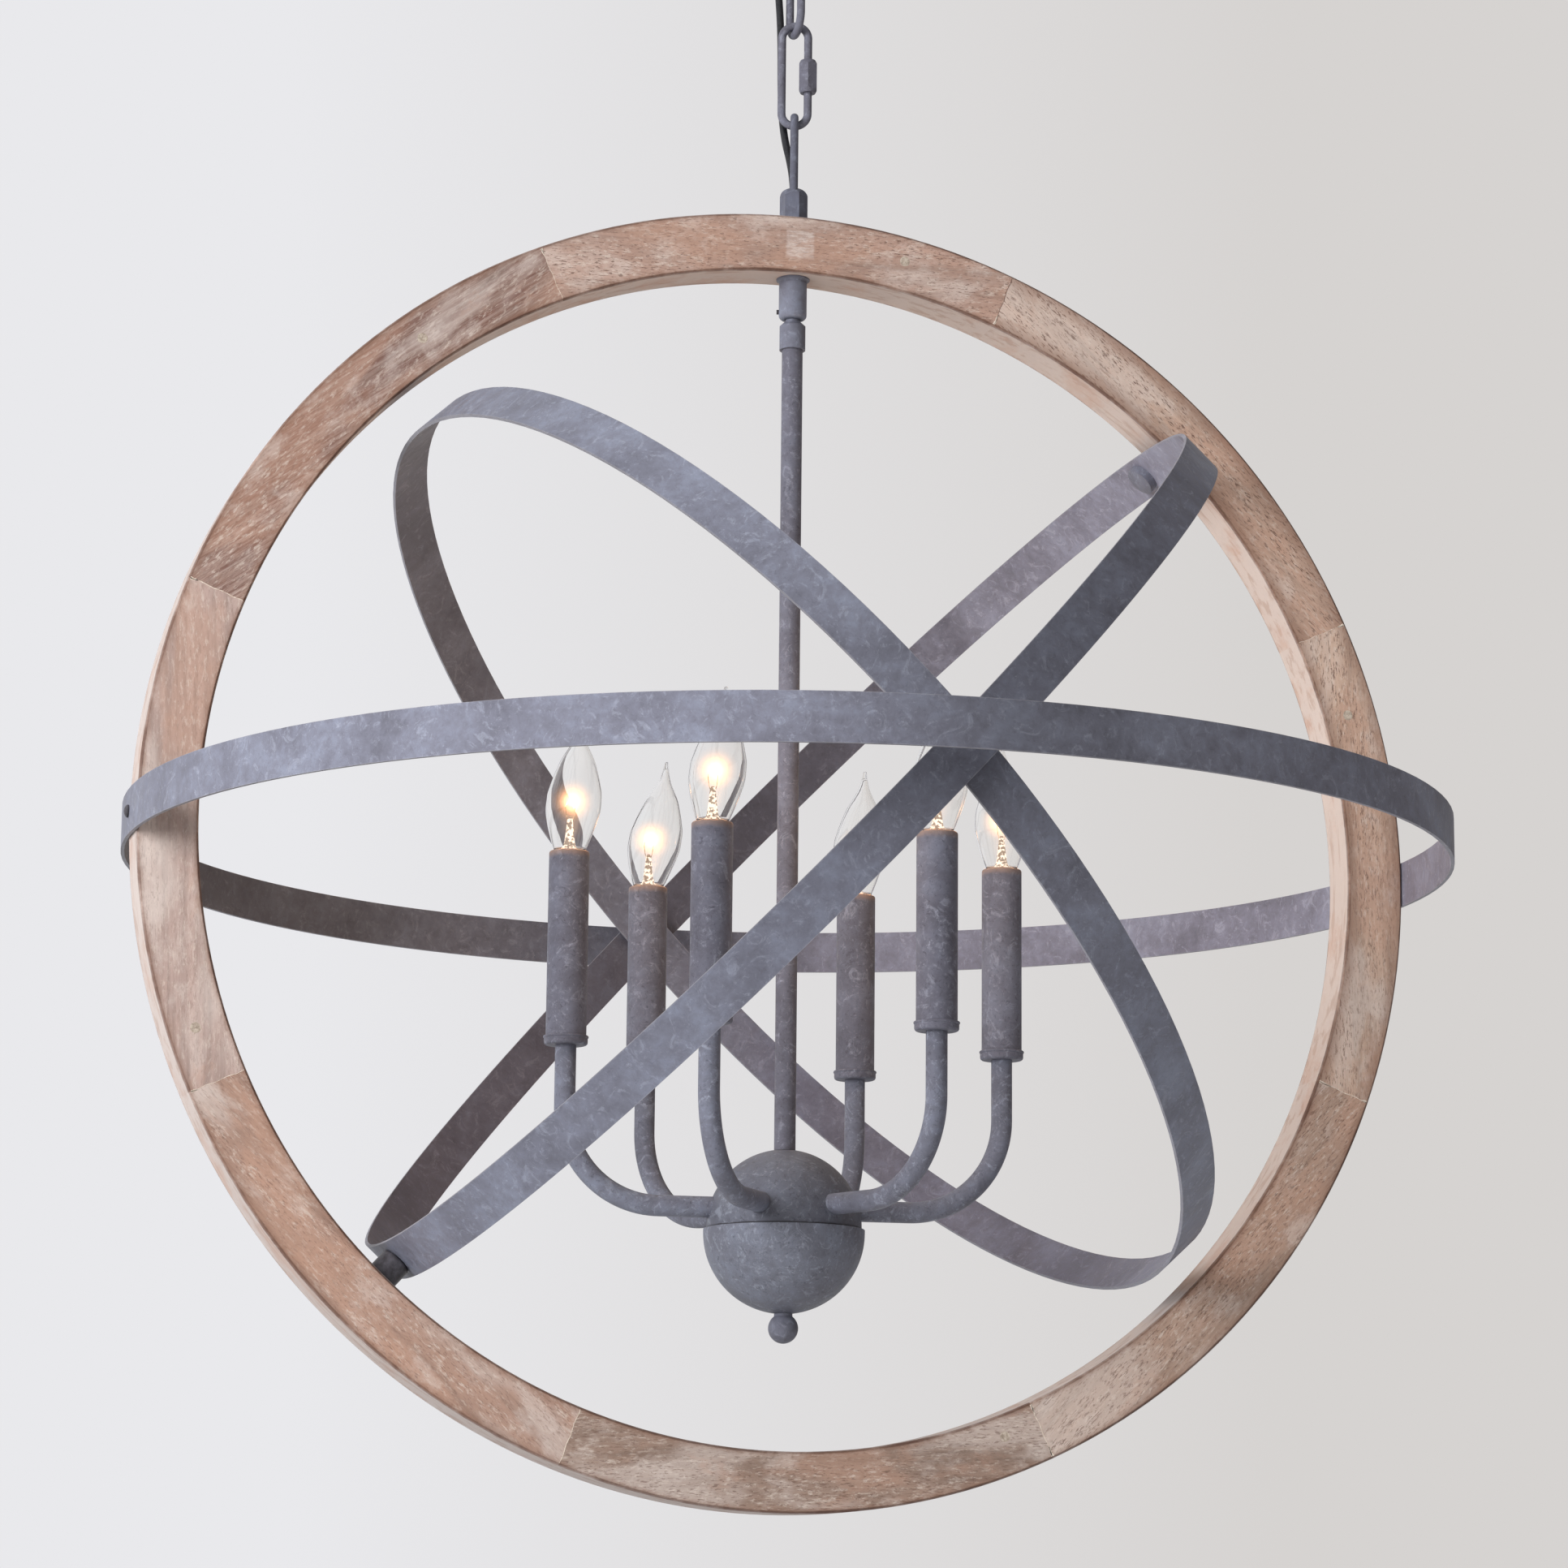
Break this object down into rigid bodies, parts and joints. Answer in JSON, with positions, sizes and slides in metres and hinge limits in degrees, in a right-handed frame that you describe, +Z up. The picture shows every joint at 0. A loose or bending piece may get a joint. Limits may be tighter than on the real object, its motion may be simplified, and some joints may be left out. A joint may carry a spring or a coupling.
{
  "type": "orb chandelier",
  "caption": "Orb chandelier: a jointed wood ring carries steel bands and a swivelling cluster of candle lamps below a short chain and canopy.",
  "frame": {"origin": "centre of the canopy's ceiling face, between the crossbar's screw slots", "axes": "+Z up to the ceiling; +X along the ceiling crossbar and across the wood ring; +Y along the wood ring's axis, away from the viewer"},
  "size_m": [0.7622, 0.7572, 1.0217],
  "materials": {
    "galvanised_paint": "mottled matt",
    "zinc_plated_steel": "satin",
    "dark_screw_steel": "matt",
    "weathered_wood": "whitewashed matt",
    "wood_filler": "matt",
    "cord_jacket": "satin",
    "lampholder_plastic": "matt",
    "clear_glass": "clear, lit"
  },
  "bodies": {
    "ceiling_plate": {"ceiling_crossbar": "zinc_plated_steel", "canopy_nipple": "zinc_plated_steel", "canopy_nut": "zinc_plated_steel", "canopy": "galvanised_paint", "canopy_loop": "galvanised_paint"},
    "upper_link": {"chain_link_2": "galvanised_paint"},
    "lower_link": {"chain_link_1": "galvanised_paint"},
    "hanger_link": {"quick_link": "galvanised_paint"},
    "gate_nut": {"quick_link_nut": "galvanised_paint"},
    "ring_frame": {"top_loop": "galvanised_paint", "frame_nipple": "zinc_plated_steel", "wood_segment_1": "weathered_wood", "wood_segment_2": "weathered_wood", "wood_segment_3": "weathered_wood", "wood_segment_4": "weathered_wood", "wood_segment_5": "weathered_wood", "wood_segment_6": "weathered_wood", "wood_segment_7": "weathered_wood", "wood_segment_8": "weathered_wood", "wood_plugs": "wood_filler", "swivel_cap": "galvanised_paint", "swivel_housing": "galvanised_paint", "swivel_set_screw": "dark_screw_steel", "band_bolts": "galvanised_paint", "band_spacers": "dark_screw_steel", "equator_screws": "dark_screw_steel", "power_cord": "cord_jacket"},
    "equator": {"equator_band": "galvanised_paint"},
    "outer_tilted_band": {"outer_band": "galvanised_paint", "pivot_rivets": "galvanised_paint", "pivot_washers": "galvanised_paint"},
    "inner_tilted_band": {"inner_band": "galvanised_paint"},
    "candle_cluster": {"swivel_stem": "galvanised_paint", "down_rod": "galvanised_paint", "hub_dome": "galvanised_paint", "hub_bowl": "galvanised_paint", "hub_nipple": "zinc_plated_steel", "hub_lock_nuts": "zinc_plated_steel", "arm_nuts": "zinc_plated_steel", "candle_cups": "galvanised_paint", "candle_sockets": "lampholder_plastic", "arm_1": "galvanised_paint", "arm_2": "galvanised_paint", "arm_3": "galvanised_paint", "arm_4": "galvanised_paint", "arm_5": "galvanised_paint", "arm_6": "galvanised_paint", "candle_sleeve_1": "galvanised_paint", "candle_sleeve_2": "galvanised_paint", "candle_sleeve_3": "galvanised_paint", "candle_sleeve_4": "galvanised_paint", "candle_sleeve_5": "galvanised_paint", "candle_sleeve_6": "galvanised_paint"},
    "finial": {"finial": "galvanised_paint"},
    "lamp_1": {"bulb_1": "clear_glass"},
    "lamp_2": {"bulb_2": "clear_glass"},
    "lamp_3": {"bulb_3": "clear_glass"},
    "lamp_4": {"bulb_4": "clear_glass"},
    "lamp_5": {"bulb_5": "clear_glass"},
    "lamp_6": {"bulb_6": "clear_glass"}
  },
  "joints": [
    {"name": "canopy_link_swing", "type": "hinge", "parent": "ceiling_plate", "child": "upper_link", "pos_m": [0, 0, -0.08], "axis": [0, 1, 0], "range_deg": [-15, 15]},
    {"name": "chain_swing", "type": "hinge", "parent": "upper_link", "child": "lower_link", "pos_m": [0, 0, -0.11615], "axis": [1, 0, 0], "range_deg": [-15, 15]},
    {"name": "quick_link_swing", "type": "hinge", "parent": "lower_link", "child": "hanger_link", "pos_m": [0, 0, -0.1523], "axis": [0, 1, 0], "range_deg": [-15, 15]},
    {"name": "orb_swing", "type": "hinge", "parent": "hanger_link", "child": "ring_frame", "pos_m": [0, 0, -0.20945], "axis": [0.9613, -0.2756, 0], "range_deg": [-15, 15], "deforming": ["power_cord"]},
    {"name": "quick_nut_run", "type": "slide", "parent": "hanger_link", "child": "gate_nut", "axis": [0, 0, 1], "range_m": [0, 0.01]},
    {"name": "equator_tilt", "type": "hinge", "parent": "ring_frame", "child": "equator", "pos_m": [0, 0, -0.6457], "axis": [1, 0, 0], "range_deg": [-85, 85]},
    {"name": "outer_band_tilt", "type": "hinge", "parent": "ring_frame", "child": "outer_tilted_band", "pos_m": [0, 0, -0.6457], "axis": [0.6756, 0, 0.7373], "range_deg": [-80, 80]},
    {"name": "inner_band_turn", "type": "hinge", "parent": "outer_tilted_band", "child": "inner_tilted_band", "pos_m": [0, 0, -0.6457], "axis": [0, -1, 0], "range_deg": [-38, 80]},
    {"name": "candle_cluster_turn", "type": "hinge", "parent": "ring_frame", "child": "candle_cluster", "pos_m": [0, 0, -0.3221], "axis": [0, 0, 1], "range_deg": [-170, 170]},
    {"name": "finial_unscrew", "type": "hinge", "parent": "candle_cluster", "child": "finial", "pos_m": [0, 0, -0.9185], "axis": [0, 0, 1], "continuous": true},
    {"name": "bulb_1_lift", "type": "slide", "parent": "candle_cluster", "child": "lamp_1", "axis": [0, 0, 1], "range_m": [0, 0.022]},
    {"name": "bulb_2_lift", "type": "slide", "parent": "candle_cluster", "child": "lamp_2", "axis": [0, 0, 1], "range_m": [0, 0.022]},
    {"name": "bulb_3_lift", "type": "slide", "parent": "candle_cluster", "child": "lamp_3", "axis": [0, 0, 1], "range_m": [0, 0.022]},
    {"name": "bulb_4_lift", "type": "slide", "parent": "candle_cluster", "child": "lamp_4", "axis": [0, 0, 1], "range_m": [0, 0.022]},
    {"name": "bulb_5_lift", "type": "slide", "parent": "candle_cluster", "child": "lamp_5", "axis": [0, 0, 1], "range_m": [0, 0.022]},
    {"name": "bulb_6_lift", "type": "slide", "parent": "candle_cluster", "child": "lamp_6", "axis": [0, 0, 1], "range_m": [0, 0.022]}
  ]
}
